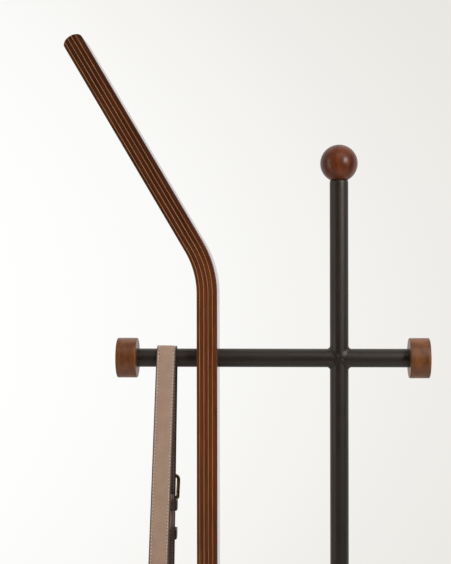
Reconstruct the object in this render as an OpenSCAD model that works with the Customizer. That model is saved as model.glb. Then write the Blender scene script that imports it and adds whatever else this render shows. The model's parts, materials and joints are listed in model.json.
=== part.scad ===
// Valet stand: a welded steel upright and crossbar, a bent laminated post,
// turned wooden finials and a buckled leather strap hung over the bar.
// Millimetres. +X runs along the bar, the front faces -Y, +Z is up.
// The origin is on the floor, under the middle of the bar.

/* [Stand] */
// Height of the crossbar's axis above the floor
bar_z = 1050; // [850:10:1300]
// Length over the two end discs
bar_length = 421; // [350:1:520]
// Distance of the upright from the middle of the bar
upright_x = 90; // [60:1:110]
// Distance of the post from the middle of the bar, on the other side
post_x = 87; // [60:1:95]

/* [Tubes] */
// Outside diameter of the upright and the crossbar
tube_d = 25; // [20:0.5:30]
// Wall of both tubes
tube_wall = 2; // [1.5:0.5:3]
// Height of the upright's rim above the bar's axis
rim_above_bar = 240; // [120:5:320]
// How far the upright's rounded rim closes in
rim_inset = 1.2; // [0.4:0.1:1.4]
// Height over which the rim is rounded
rim_fall = 4; // [1:0.5:6]
// Leg length of the weld beads
weld_size = 2; // [1:0.5:3]

/* [Base] */
// Diameter of the base plate
base_d = 380; // [300:5:460]
// Thickness of the base plate
base_t = 10; // [8:1:16]
// Chamfer around the plate's top edge
base_edge = 2; // [1:0.5:3]
// Thickness of the soft pad
pad_t = 3; // [2:0.5:5]
// How far the pad stops short of the plate's edge
pad_inset = 3; // [1:1:8]

/* [Finials] */
// Diameter of the ball on the upright
ball_d = 50.5; // [40:0.5:65]
// Diameter of the end discs
disc_d = 54; // [42:1:70]
// Thickness of the end discs
disc_t = 27; // [22:1:36]
// Depth that the bar enters each disc
disc_seat = 6; // [2:1:8]
// Chamfer on the rims of the discs
disc_edge = 1; // [0.5:0.25:2]

/* [Post] */
// Width of the post from front to back
post_depth = 60; // [48:1:80]
// Thickness of each ply in the middle of the post
ply_t = 4.8; // [3.5:0.1:6]
// Thickness of the ply on the inside of the bend
inner_ply_t = 3.6; // [2.5:0.1:6]
// Thickness of the ply on the outside of the bend
outer_ply_t = 6; // [3:0.1:7]
// Thickness of each pale layer
veneer_t = 0.9; // [0.5:0.1:1.5]
// Angle between the post's upper arm and the vertical
bend_angle = 30.5; // [15:0.5:45]
// Radius of the bend at the middle of the post
bend_r = 124; // [60:2:200]
// Height above the bar at which the two centre lines would meet
bend_above_bar = 121; // [70:1:160]
// Length of the upper arm from that meeting point
arm_length = 362; // [250:2:420]
// How far the crown of the post's tip rises above its shoulders
tip_rise = 9; // [3:0.5:12]

/* [Strap] */
// Width of the strap
strap_w = 26; // [20:1:32]
// Thickness of the outer leather
leather_t = 2; // [1.5:0.1:3]
// Thickness of the lining
lining_t = 1.6; // [1:0.1:2.5]
// Distance from the bar's axis down to the middle of the bottom bend
strap_drop = 390; // [340:5:460]
// Angle between the front and the back run
strap_opening = 12.4; // [8:0.2:16]
// Angle by which the back run hangs away from the vertical
strap_back = 2.6; // [0:0.1:5]
// Sideways lean of the hanging strap
strap_lean = 1.2; // [0:0.1:1.5]
// How far the strap hangs outward of the middle of its stretch of bar
strap_offset = 1.1; // [-6:0.1:6]
// Distance from the bar's axis down to the tip of the tail
tail_drop = 330; // [290:5:335]
// Distance between the holes in the tail
hole_pitch = 22; // [20:1:26]
// Diameter of the holes in the tail
hole_d = 4; // [3:0.5:5]

/* [Buckle] */
// Distance from the bar's axis down to the buckle's pivot
heel_drop = 193; // [170:2:210]
// Distance from the pivot to the rail that the prong rests on
buckle_h = 29.5; // [26:0.5:34]
// Radius of the frame's rails
rail_r = 2.4; // [1.5:0.1:2.5]
// Outer corner radius of the frame, at the middle of the rail
frame_corner_r = 5.5; // [3:0.5:8]
// Gap between the strap's edge and the frame
rail_gap = 1.25; // [1:0.25:3]
// Radius of the pivot bar
heel_r = 1.6; // [1.2:0.1:2]
// Radius of the prong
prong_r = 1.3; // [1:0.1:1.6]
// Length of the leather folded back behind the pivot bar
flap_length = 45; // [30:1:60]

/* [Keepers] */
// Wall of both keepers
keeper_t = 2.2; // [1.5:0.1:3]
// Gap between a keeper and the strap's edges
keeper_gap = 1.2; // [0.4:0.1:1.5]
// Height of the fixed keeper
fixed_keeper_h = 14; // [10:1:20]
// Height of the sliding keeper
sliding_keeper_h = 14; // [10:1:24]
// Distance between the two keepers
keeper_space = 26; // [21:1:30]

/* [Hardware] */
// Radius of the finials' studs and of the post's foot screws
stud_r = 4; // [3:0.5:5]
// Radius of the bolt in the foot of the upright
foot_bolt_r = 6; // [5:0.5:7]
// Radius of the screw that locks the post to the bar
lock_r = 3; // [2.5:0.5:4]
// Wall of the brass inserts
insert_wall = 1.6; // [1.2:0.1:2.5]
// Depth of the inserts in the finials
insert_h = 14; // [10:1:16]
// Distance between the two foot screws
foot_pitch = 34; // [28:1:40]

/* [Hidden] */
$fn = 96;
fit_gap = 0.05;            // radial clearance of a part seated in another
wrap_gap = 0.5;            // clearance of the strap around the bar
lap_gap = 0.4;             // clearance between the tail and the layer under it
fold_gap = 0.3;            // clearance of the pivot bar in its fold, and of the rail on the tail
over = 1;                  // how far a cutter runs past what it cuts

tube_r = tube_d / 2;
bore_r = tube_r - tube_wall;
base_top = pad_t + base_t;
rim_z = bar_z + rim_above_bar;
bar_end = bar_length / 2 - disc_t + disc_seat;
rim_step = 15;             // degrees between the points of the rounded rim
plug_h = 20;               // length of the threaded plugs in the tubes
foot_plug_h = 32;

insert_r = stud_r + insert_wall;
ball_r = ball_d / 2;
rim_r = tube_r - rim_inset;
ball_seat = sqrt(ball_r * ball_r - rim_r * rim_r);
ball_z = rim_z + ball_seat;

// Layers of the post, from the inside of the bend to the outside
layers = [inner_ply_t, veneer_t, ply_t, veneer_t, ply_t, veneer_t, ply_t, veneer_t, outer_ply_t];
function sum_to(n) = n == 0 ? 0 : layers[n - 1] + sum_to(n - 1);
post_t = sum_to(len(layers));
tangent = bend_r * tan(bend_angle / 2);
arc_z = bar_z + bend_above_bar - tangent;
arm_h = arm_length - tangent;
bend_steps = 16;           // steps around the bend
tip_steps = 8;             // steps across each layer's end

lock_head_r = lock_r + 2;
lock_head_h = 2 * lock_r;
lock_recess = 1;           // how deep the lock screw's head lies under the back face
lock_play = 0.3;           // clearance of the lock screw in the bar's wall
nut_ratio = 1.92;          // a nut's width across corners, over its thread
nut_r = lock_r * nut_ratio;
nut_h = 5;
nut_y = sqrt(bore_r * bore_r - nut_r * nut_r) - fit_gap;

foot_insert_h = 26;
foot_screw_h = 20;         // how far the foot screws reach into the post
foot_bolt_h = 26;          // how far the bolt reaches into the upright
sink = 0.8;                // height of a countersunk head as a share of its overhang
socket_r = 0.6;            // size of a screw's socket as a share of the shaft's radius
socket_h = 0.55;           // its depth, as a share of the same
seat_gap = 0.5;            // how far an insert stays back from the bottom of its pocket
stud_space = 2;            // how far a stud stays back from the end of its plug

strap_t = leather_t + lining_t;
wrap_r = tube_r + wrap_gap;
strap_x = -((post_x + post_t / 2) + (bar_length / 2 - disc_t)) / 2 - strap_offset;
lap_y = wrap_r - lap_gap - strap_t;    // inner face of the layer under the tail
loop_r = (lap_y * cos(strap_opening) + wrap_r + strap_drop * sin(strap_opening))
         / (1 + cos(strap_opening));
loop_y = lap_y - loop_r;
arc_step = 5;              // degrees between the stations of the strap's bends

fold_r = heel_r + fold_gap;
heel_y = lap_y + lining_t - fold_r;
flap_slope_h = 12;         // height over which the folded leather closes on the strap
lip_y = wrap_r + strap_t + fold_gap + rail_r;
frame_tilt = asin((lip_y - heel_y) / buckle_h);
prong_tilt = asin((rail_r + prong_r + fold_gap) / buckle_h);
rail_x = strap_w / 2 + rail_gap + rail_r;
slot_gap = 0.6;            // clearance of the prong and its ring in the leather
prong_ring_w = 4;
prong_ring_t = 1.6;        // wall of the ring that turns on the pivot bar
prong_ring_r = heel_r + prong_ring_t;
prong_slot_w = 2 * (prong_r + slot_gap);
slot_top = -heel_drop + (wrap_r + strap_t - heel_y) / tan(frame_tilt + prong_tilt)
           + prong_r / sin(frame_tilt + prong_tilt) + slot_gap;
first_hole = slot_top - prong_slot_w / 2;
hole_steps = [-4, -3, -2, 1, 2];       // the round holes, counted from the prong's own

keeper_y0 = heel_y - fold_r - leather_t - fold_gap;
keeper_y1 = wrap_r + strap_t + fold_gap;
keeper_drop = 1.5;         // from the frame down to the fixed keeper
fixed_keeper_top = -heel_drop - rail_r - keeper_drop;
sliding_keeper_top = fixed_keeper_top - fixed_keeper_h - keeper_space;

steel = "#2b2622";
walnut = "#5b3219";
maple = "#9a7048";
turned = "#7a4729";
brass = "#8a7444";
zinc = "#a9a9a6";
beige = "#a58f7c";
dark_leather = "#4a382e";

// ---- places ----

module at_upright(z) translate([upright_x, 0, z]) children();

// At an end of the bar: z = 0 on the disc's outer face, +z towards the stand
module at_bar_end(side) translate([side * bar_length / 2, 0, bar_z])
    rotate([0, -side * 90, 0]) children();

// At the lock screw: +z runs out of the post's back face
module at_lock() translate([-post_x, 0, bar_z]) rotate([-90, 0, 0]) children();

module at_foot_screws(z) for (s = [-1, 1]) translate([-post_x, s * foot_pitch / 2, z]) children();

// The hanging strap: origin on the bar's axis, its back run along -z
module hang() translate([strap_x, 0, bar_z])
    rotate([0, strap_lean, 0]) rotate([strap_back, 0, 0]) children();

// At the buckle's pivot, with +z along the frame's rails
module at_heel(tilt) hang() translate([0, heel_y, -heel_drop]) rotate([-tilt, 0, 0]) children();

// ---- shared shapes ----

module sleeve(r, bore, h) difference() {
    cylinder(r = r, h = h);
    translate([0, 0, -over]) cylinder(r = bore, h = h + 2 * over);
}

module bar_rod(r, x0, x1) translate([x0, 0, bar_z]) rotate([0, 90, 0]) cylinder(r = r, h = x1 - x0);

// A countersunk screw, its head down at z = 0, with a six-sided socket
module sunk_screw(r, head_r, h) difference() {
    union() {
        cylinder(r1 = head_r, r2 = r, h = (head_r - r) * sink);
        cylinder(r = r, h = h);
    }
    translate([0, 0, -over]) cylinder(r = r * socket_r, h = r * socket_h + over, $fn = 6);
}

// The hole that such a screw needs
module sunk_hole(r, head_r, h) {
    cylinder(r1 = head_r + fit_gap, r2 = r + fit_gap, h = (head_r - r) * sink);
    translate([0, 0, -over]) cylinder(r = r + fit_gap, h = h + 2 * over);
}

// ---- steel frame ----

module upright_tube() color(steel) at_upright(base_top) {
    h = rim_z - base_top;
    rim = [for (a = [0 : rim_step : 90])
           [tube_r - rim_inset * (1 - cos(a)), h - rim_fall * (1 - sin(a))]];
    rotate_extrude() polygon(concat([[bore_r, 0], [tube_r, 0]], rim, [[bore_r, h]]));
}

// A stretch of the bar, coped to sit on the upright
module crossbar(x0, x1) difference() {
    bar_rod(tube_r, x0, x1);
    bar_rod(bore_r, x0 - over, x1 + over);
    at_upright(bar_z - tube_d) cylinder(r = tube_r, h = 2 * tube_d);
}

module crossbar_left() color(steel) difference() {
    crossbar(-bar_end, upright_x);
    at_lock() cylinder(r = lock_r + lock_play, h = tube_d);
}

module crossbar_right() color(steel) crossbar(upright_x, bar_end);

module crossbar_welds() color(steel) difference() {
    intersection() {
        bar_rod(tube_r + weld_size, upright_x - tube_d, upright_x + tube_d);
        at_upright(bar_z - tube_d) cylinder(r = tube_r + weld_size, h = 2 * tube_d);
        at_upright(bar_z) cube([2 * tube_d, 2 * tube_r - 1, 2 * tube_d], center = true);
    }
    bar_rod(tube_r, upright_x - 2 * tube_d, upright_x + 2 * tube_d);
    at_upright(bar_z - 2 * tube_d) cylinder(r = tube_r, h = 4 * tube_d);
}

module upright_top_plug() color(zinc) at_upright(rim_z - plug_h)
    sleeve(bore_r - fit_gap, stud_r + fit_gap, plug_h);

module bar_plug(side) color(zinc) at_bar_end(side) translate([0, 0, disc_t - disc_seat])
    sleeve(bore_r - fit_gap, stud_r + fit_gap, plug_h);

module upright_foot_plug() color(zinc) at_upright(base_top)
    sleeve(bore_r - fit_gap, foot_bolt_r + fit_gap, foot_plug_h);

// ---- wooden finials ----

module ball_finial() color(turned) at_upright(ball_z) difference() {
    sphere(r = ball_r);
    translate([-ball_r, -ball_r, -2 * ball_r]) cube([ball_d, ball_d, 2 * ball_r - ball_seat]);
    translate([0, 0, -ball_seat - over]) cylinder(r = insert_r + fit_gap, h = insert_h + over);
}

module ball_insert() color(brass) at_upright(rim_z)
    sleeve(insert_r, stud_r + fit_gap, insert_h - seat_gap);

module ball_stud() color(zinc) at_upright(rim_z - plug_h + stud_space)
    cylinder(r = stud_r, h = plug_h + insert_h - 2 * stud_space);

module end_disc(side) color(turned) at_bar_end(side) difference() {
    rotate_extrude() polygon([[0, 0], [disc_d / 2 - disc_edge, 0], [disc_d / 2, disc_edge],
                              [disc_d / 2, disc_t - disc_edge], [disc_d / 2 - disc_edge, disc_t],
                              [0, disc_t]]);
    translate([0, 0, disc_t - disc_seat]) cylinder(r = tube_r + fit_gap, h = disc_seat + over);
    translate([0, 0, disc_t - disc_seat - insert_h])
        cylinder(r = insert_r + fit_gap, h = insert_h + over);
}

module disc_insert(side) color(brass) at_bar_end(side)
    translate([0, 0, disc_t - disc_seat - insert_h + seat_gap])
    sleeve(insert_r, stud_r + fit_gap, insert_h - seat_gap);

module disc_stud(side) color(zinc) at_bar_end(side)
    translate([0, 0, disc_t - disc_seat - insert_h + stud_space])
    cylinder(r = stud_r, h = insert_h + plug_h - 2 * stud_space);

// ---- bent laminated post ----

// The post's outline is drawn with x across it from its centre line and y along Z.

// A point of the bend, at an offset from the centre line and an angle from the upright part
function bend_point(u, a) = [(bend_r + u) * cos(a) - bend_r, arc_z + (bend_r + u) * sin(a)];

// A point of the arm, at an offset from the centre line and a height above the end of the bend
function arm_point(u, h) = bend_point(u, bend_angle) + h * [-sin(bend_angle), cos(bend_angle)];

// Height of the crowned tip, half an ellipse, at an offset from the centre line
function tip_h(u) = arm_h - tip_rise + tip_rise * sqrt(max(0, 1 - pow(2 * u / post_t, 2)));

// Outline of one layer, between the offsets a and b
function layer_outline(a, b) = concat([[a, base_top]],
    [for (k = [0 : bend_steps]) bend_point(a, bend_angle * k / bend_steps)],
    [for (k = [0 : tip_steps]) let (u = a + (b - a) * k / tip_steps) arm_point(u, tip_h(u))],
    [for (k = [bend_steps : -1 : 0]) bend_point(b, bend_angle * k / bend_steps)],
    [[b, base_top]]);

// Everything that is drilled through the layers
module post_holes() {
    bar_rod(tube_r + fit_gap, -post_x - post_t, -post_x + post_t);
    at_lock() cylinder(r = lock_r + fit_gap, h = post_depth);
    at_lock() translate([0, 0, post_depth / 2 - lock_recess - lock_head_h])
        cylinder(r = lock_head_r + fit_gap, h = post_depth);
    at_foot_screws(base_top - over) cylinder(r = insert_r + fit_gap, h = foot_insert_h + over);
}

module post_layer(n) difference() {
    translate([-post_x, 0, 0]) rotate([90, 0, 0]) linear_extrude(post_depth, center = true)
        polygon(layer_outline(sum_to(n) - post_t / 2, sum_to(n + 1) - post_t / 2));
    post_holes();
}

module post_ply(n) color(walnut) post_layer(2 * n - 2);

module post_veneer(n) color(maple) post_layer(2 * n - 1);

module post_lock_screw() color(zinc) at_lock()
    translate([0, 0, post_depth / 2 - lock_recess]) difference() {
    union() {
        translate([0, 0, -lock_head_h]) cylinder(r = lock_head_r, h = lock_head_h);
        translate([0, 0, -post_depth / 2])
            cylinder(r = lock_r, h = post_depth / 2 - lock_head_h + over);
    }
    translate([0, 0, -lock_r]) cylinder(r = lock_r, h = lock_r + over, $fn = 6);
}

module post_lock_nut() color(zinc) at_lock() translate([0, 0, nut_y - nut_h]) difference() {
    cylinder(r = nut_r, h = nut_h, $fn = 6);
    translate([0, 0, -over]) cylinder(r = lock_r + fit_gap, h = nut_h + 2 * over);
}

module post_foot_inserts() color(brass) at_foot_screws(base_top)
    sleeve(insert_r, stud_r + fit_gap, foot_insert_h - seat_gap);

module post_foot_screws() color(zinc) at_foot_screws(pad_t)
    sunk_screw(stud_r, 2 * stud_r, base_t + foot_screw_h);

// ---- base ----

module base_plate() color(steel) difference() {
    rotate_extrude() polygon([[0, pad_t], [base_d / 2, pad_t], [base_d / 2, base_top - base_edge],
                              [base_d / 2 - base_edge, base_top], [0, base_top]]);
    at_foot_screws(pad_t) sunk_hole(stud_r, 2 * stud_r, base_t);
    at_upright(pad_t) sunk_hole(foot_bolt_r, 2 * foot_bolt_r, base_t);
}

module base_pad() color("#1d1d1d") cylinder(r = base_d / 2 - pad_inset, h = pad_t);

module upright_foot_bolt() color(zinc) at_upright(pad_t)
    sunk_screw(foot_bolt_r, 2 * foot_bolt_r, base_t + foot_bolt_h);

// ---- strap ----

// The strap's side outline is a list of stations, each a point on its inner face and the
// outward direction there, drawn with x along Y and y along Z.

// Stations around an arc, from angle a0 to a1
function arc(x, y, r, a0, a1) = let (n = ceil(abs(a1 - a0) / arc_step))
    [for (k = [0 : n]) let (a = a0 + (a1 - a0) * k / n, d = [cos(a), sin(a)]) [[x, y] + r * d, d]];

// From the tail's tip, over the bar, down the front, around the bottom and up to a height
function loop_path(top) = concat([[[wrap_r, -tail_drop], [1, 0]]],
    arc(0, 0, wrap_r, 0, 180 - strap_opening),
    arc(loop_y, -strap_drop, loop_r, 180 - strap_opening, 360),
    [[[lap_y, top], [1, 0]]]);

// Around the pivot bar and down again, for a layer that starts at the lining's outside
fold_path = concat(arc(heel_y, -heel_drop, fold_r - lining_t, 0, 180),
    [for (h = [flap_slope_h, flap_length]) [[lap_y + lining_t, -heel_drop - h], [-1, 0]]]);

function offset_line(path, d) = [for (s = path) s[0] + d * s[1]];
function backwards(list) = [for (k = [len(list) - 1 : -1 : 0]) list[k]];

// A layer of the strap between two distances from the path
module strap_layer(path, d0, d1) difference() {
    rotate([90, 0, 90]) linear_extrude(strap_w, center = true)
        polygon(concat(offset_line(path, d1), backwards(offset_line(path, d0))));
    tail_holes();
    tail_corners();
}

// What is cut away to leave a round tip on the tail
module tail_corners() translate([0, wrap_r - lap_gap / 2, strap_w / 2 - tail_drop]) difference() {
    translate([-strap_w, 0, -strap_w]) cube([2 * strap_w, 2 * strap_t, strap_w]);
    rotate([-90, 0, 0]) translate([0, 0, -over]) cylinder(r = strap_w / 2, h = 3 * strap_t);
}

// A hole through the tail, centred at height z
module tail_hole(r, z) translate([0, wrap_r - lap_gap / 2, z])
    rotate([-90, 0, 0]) cylinder(r = r, h = 2 * strap_t);

// The slot that the prong passes through, and the round holes above and below it
module tail_holes() {
    tail_hole(prong_slot_w / 2, first_hole);
    translate([-prong_slot_w / 2, wrap_r - lap_gap / 2, -heel_drop])
        cube([prong_slot_w, 2 * strap_t, first_hole + heel_drop]);
    tail_hole(prong_slot_w / 2, -heel_drop);
    for (k = hole_steps) tail_hole(hole_d / 2, first_hole + k * hole_pitch);
}

module strap_leather() color(beige) hang() difference() {
    strap_layer(concat(loop_path(-heel_drop - 1), fold_path), lining_t, strap_t);
    translate([-prong_ring_w / 2 - slot_gap, heel_y - 2 * strap_t, -heel_drop - prong_ring_r - slot_gap])
        cube([prong_ring_w + 2 * slot_gap, wrap_r - lap_gap / 2 - heel_y + 2 * strap_t, 4 * strap_t]);
}

module strap_lining() color(dark_leather) hang()
    strap_layer(loop_path(-heel_drop - prong_ring_r - slot_gap), 0, lining_t);

// A leather loop around all the layers, its top at height z
module keeper(z, h) hang() translate([0, 0, z - h]) difference() {
    keeper_box(strap_w / 2 + keeper_gap + keeper_t, keeper_y0 - keeper_t, keeper_y1 + keeper_t, 0, h);
    keeper_box(strap_w / 2 + keeper_gap, keeper_y0, keeper_y1, -over, h + 2 * over);
}

module keeper_box(half_w, y0, y1, z, h) translate([-half_w, y0, z])
    cube([2 * half_w, y1 - y0, h]);

module fixed_keeper() color(dark_leather) keeper(fixed_keeper_top, fixed_keeper_h);

module sliding_keeper() color(dark_leather) keeper(sliding_keeper_top, sliding_keeper_h);

// ---- buckle ----

// A rod along z
module rail(x, z0, z1) translate([x, 0, z0]) cylinder(r = rail_r, h = z1 - z0);

// A quarter turn of the rail, its middle at x, z, starting at angle a
module rail_corner(x, z, a) translate([x, 0, z]) rotate([90, 0, 0]) rotate([0, 0, a])
    rotate_extrude(angle = 90) translate([frame_corner_r, 0]) circle(r = rail_r);

module buckle_frame() color(brass) at_heel(frame_tilt) {
    flat = rail_x - frame_corner_r;
    for (s = [-1, 1]) rail(s * rail_x, 0, buckle_h - frame_corner_r);
    rail_corner(flat, buckle_h - frame_corner_r, 0);
    rail_corner(-flat, buckle_h - frame_corner_r, 90);
    translate([-flat, 0, buckle_h]) rotate([0, 90, 0]) cylinder(r = rail_r, h = 2 * flat);
    for (s = [-1, 1]) translate([s * rail_x, 0, 0]) sphere(r = rail_r);
    translate([-rail_x, 0, 0]) rotate([0, 90, 0]) cylinder(r = heel_r, h = 2 * rail_x);
}

module buckle_prong() color(brass) at_heel(frame_tilt + prong_tilt) difference() {
    union() {
        rotate([0, 90, 0]) cylinder(r = prong_ring_r, h = prong_ring_w, center = true);
        cylinder(r = prong_r, h = buckle_h + 2 * rail_r);
        translate([0, 0, buckle_h + 2 * rail_r]) sphere(r = prong_r);
    }
    rotate([0, 90, 0]) cylinder(r = heel_r + fit_gap, h = 2 * prong_ring_w, center = true);
}

upright_tube();
crossbar_left();
crossbar_right();
crossbar_welds();
upright_top_plug();
bar_plug(-1);  // bar_plug_left
bar_plug(1);  // bar_plug_right
upright_foot_plug();
ball_finial();
ball_insert();
ball_stud();
end_disc(-1);  // end_disc_left
end_disc(1);  // end_disc_right
disc_insert(-1);  // disc_insert_left
disc_insert(1);  // disc_insert_right
disc_stud(-1);  // disc_stud_left
disc_stud(1);  // disc_stud_right
post_ply(1);  // post_ply_1
post_ply(2);  // post_ply_2
post_ply(3);  // post_ply_3
post_ply(4);  // post_ply_4
post_ply(5);  // post_ply_5
post_veneer(1);  // post_veneer_1
post_veneer(2);  // post_veneer_2
post_veneer(3);  // post_veneer_3
post_veneer(4);  // post_veneer_4
post_lock_screw();
post_lock_nut();
post_foot_inserts();
post_foot_screws();
base_plate();
base_pad();
upright_foot_bolt();
strap_leather();
strap_lining();
fixed_keeper();
sliding_keeper();
buckle_frame();
buckle_prong();
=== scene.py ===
# Valet stand: powder-coated steel, a bent laminated post, turned finials and a buckled strap.
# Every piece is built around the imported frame, in metres, with +Z up and the front facing -Y.

import json
from math import asin, ceil, cos, pi, radians, sin, sqrt, tan

import bmesh
import bpy
from mathutils import Matrix, Vector, noise
from mathutils.kdtree import KDTree


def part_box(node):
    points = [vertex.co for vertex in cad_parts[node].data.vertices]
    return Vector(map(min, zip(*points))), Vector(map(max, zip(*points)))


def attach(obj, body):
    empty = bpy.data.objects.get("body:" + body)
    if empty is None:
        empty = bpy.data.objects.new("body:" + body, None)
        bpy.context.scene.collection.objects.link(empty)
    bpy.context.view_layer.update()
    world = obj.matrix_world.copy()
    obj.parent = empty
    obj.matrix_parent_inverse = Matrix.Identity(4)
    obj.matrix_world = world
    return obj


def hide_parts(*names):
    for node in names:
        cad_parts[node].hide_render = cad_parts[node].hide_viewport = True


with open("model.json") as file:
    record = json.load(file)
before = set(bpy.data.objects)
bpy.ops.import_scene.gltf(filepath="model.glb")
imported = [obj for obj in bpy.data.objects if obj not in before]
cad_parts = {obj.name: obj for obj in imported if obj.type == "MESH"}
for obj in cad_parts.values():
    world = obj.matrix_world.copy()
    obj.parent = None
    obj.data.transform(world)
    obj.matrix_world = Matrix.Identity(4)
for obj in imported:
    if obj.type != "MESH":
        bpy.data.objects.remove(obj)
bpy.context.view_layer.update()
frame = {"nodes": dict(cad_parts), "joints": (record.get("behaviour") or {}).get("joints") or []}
mm = 0.001

joints = {joint["name"]: joint for joint in frame["joints"]}


def middle(node):
    low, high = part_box(node)
    return (low + high) / 2


tubeLow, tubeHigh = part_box("upright_tube")
tubeR = (tubeHigh.x - tubeLow.x) / 2
tubeWall = 2 * mm
boreR = tubeR - tubeWall
uprightX = middle("upright_tube").x
rimZ = tubeHigh.z
baseTop = tubeLow.z
barZ = middle("crossbar_left").z
barEnds = {-1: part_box("crossbar_left")[0].x, 1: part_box("crossbar_right")[1].x}
discEnds = {-1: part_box("end_disc_left")[0].x, 1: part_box("end_disc_right")[1].x}
postX = middle("post_lock_screw").x


print("camera, lights and stage")

shot = {
    "place": Vector((17, -1558, 102.8)) * mm,   # from the middle of the bar
    "left": radians(2.96),
    "roll": radians(-0.085),
    "lens": 73.4,
}


def makeCamera():
    camera = bpy.data.objects.new("camera", bpy.data.cameras.new("camera"))
    bpy.context.scene.collection.objects.link(camera)
    camera.data.lens = shot["lens"]
    camera.data.sensor_width = 36
    camera.data.clip_end = 50
    camera.location = Vector((0, 0, barZ)) + shot["place"]
    turn = Matrix.Rotation(shot["left"], 3, "Z") @ Matrix.Rotation(pi / 2, 3, "X")
    camera.rotation_euler = (turn @ Matrix.Rotation(shot["roll"], 3, "Z")).to_euler()
    bpy.context.scene.camera = camera


makeCamera()


class Wire:
    # a socket that can be used in sums; each sum adds a Math node
    def __init__(self, paint, socket):
        self.paint = paint
        self.socket = socket

    def maths(self, kind, *values):
        return self.paint.node("Math", {"operation": kind}, dict(enumerate(values)))

    def __add__(self, other):
        return self.maths("ADD", self, other)

    __radd__ = __add__

    def __sub__(self, other):
        return self.maths("SUBTRACT", self, other)

    def __rsub__(self, other):
        return self.maths("SUBTRACT", other, self)

    def __mul__(self, other):
        return self.maths("MULTIPLY", self, other)

    __rmul__ = __mul__

    def __abs__(self):
        return self.maths("ABSOLUTE", self)

    def ramp(self, low, high, bottom=0.0, top=1.0):
        # smooth step from bottom, at low, to top, at high
        return self.paint.node("MapRange", {"interpolation_type": "SMOOTHSTEP"},
                               {"Value": self, "From Min": low, "From Max": high,
                                "To Min": bottom, "To Max": top})


class Paint:
    # one node tree and the calls that fill it
    def __init__(self, tree):
        self.tree = tree

    def node(self, kind, settings=None, sockets=None, output=0):
        made = self.tree.nodes.new("ShaderNode" + kind)
        for name, value in (settings or {}).items():
            setattr(made, name, value)
        for name, value in (sockets or {}).items():
            self.plug(made.inputs[name], value)
        return Wire(self, made.outputs[output])

    def plug(self, socket, value):
        if isinstance(value, Wire):
            self.tree.links.new(value.socket, socket)
        else:
            socket.default_value = value

    def noise(self, place, scale, detail=3.0, roughness=0.5, distortion=0.0):
        return self.node("TexNoise", {}, {"Vector": place, "Scale": scale, "Detail": detail,
                                          "Roughness": roughness, "Distortion": distortion})

    def cells(self, place, scale, feature="F1"):
        return self.node("TexVoronoi", {"feature": feature}, {"Vector": place, "Scale": scale})

    def stretched(self, place, amounts, offset=(0, 0, 0), turn=(0, 0, 0)):
        return self.node("Mapping", {}, {"Vector": place, "Scale": amounts, "Location": offset,
                                         "Rotation": turn})

    def mix(self, share, first, second, blend="MIX"):
        return self.node("Mix", {"data_type": "RGBA", "blend_type": blend},
                         {0: share, 6: first, 7: second}, output=2)

    def objectPlace(self):
        return self.node("TexCoord", output=3)

    def attribute(self, name):
        return self.node("Attribute", {"attribute_name": name}, output=1)

    def part(self, vector, axis):
        return self.node("SeparateXYZ", {}, {"Vector": vector}, output="XYZ".index(axis))


class Finish(Paint):
    # a material whose shader sockets are set with surface()
    def __init__(self, name):
        self.material = bpy.data.materials.new(name)
        self.material.use_nodes = True
        super().__init__(self.material.node_tree)
        self.shader = self.tree.nodes["Principled BSDF"]

    def surface(self, sockets, height=None, depth=1.0):
        for name, value in sockets.items():
            self.plug(self.shader.inputs[name], value)
        if height is not None:
            bump = self.node("Bump", {}, {"Height": height, "Distance": depth})
            self.plug(self.shader.inputs["Normal"], bump)
        return self.material


def shade(red, green, blue):
    # a screen colour, 0 to 255, as a linear one
    def linear(value):
        value /= 255
        return value / 12.92 if value < 0.04045 else ((value + 0.055) / 1.055) ** 2.4
    return (linear(red), linear(green), linear(blue), 1)


light = {
    "key": {"turn": 42, "rise": 20, "reach": 1.7, "wide": 0.4, "tall": 0.7, "power": 22},
    "side": {"turn": -67, "rise": 2, "reach": 1.9, "wide": 0.5, "tall": 1.9, "power": 12},
    "fill": {"turn": 12, "rise": 50, "reach": 2.6, "wide": 2.0, "tall": 1.0, "power": 11},
}
stage = {
    "aim": 0.1,            # height above the bar that the lights point at
    "front": 0.05,         # brightness of the room on the camera's side
    "behind": 1.0,         # brightness of the lit paper behind the stand
    "floorRadius": 3.2,
    "fadeStart": 0.9,
}


def makeLight(name, turn, rise, reach, wide, tall, power):
    # turn is to the right of the view, rise above the horizon, both seen from the stand
    lamp = bpy.data.objects.new(name, bpy.data.lights.new(name, "AREA"))
    bpy.context.scene.collection.objects.link(lamp)
    lamp.data.shape = "RECTANGLE"
    lamp.data.size = wide
    lamp.data.size_y = tall
    lamp.data.energy = power
    lamp.data.color = (1.0, 0.985, 0.96)
    away = Vector((sin(radians(turn)) * cos(radians(rise)), -cos(radians(turn)) * cos(radians(rise)),
                   sin(radians(rise))))
    lamp.location = Vector((0, 0, barZ + stage["aim"])) + away * reach
    lamp.rotation_euler = away.to_track_quat("Z", "Y").to_euler()


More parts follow.
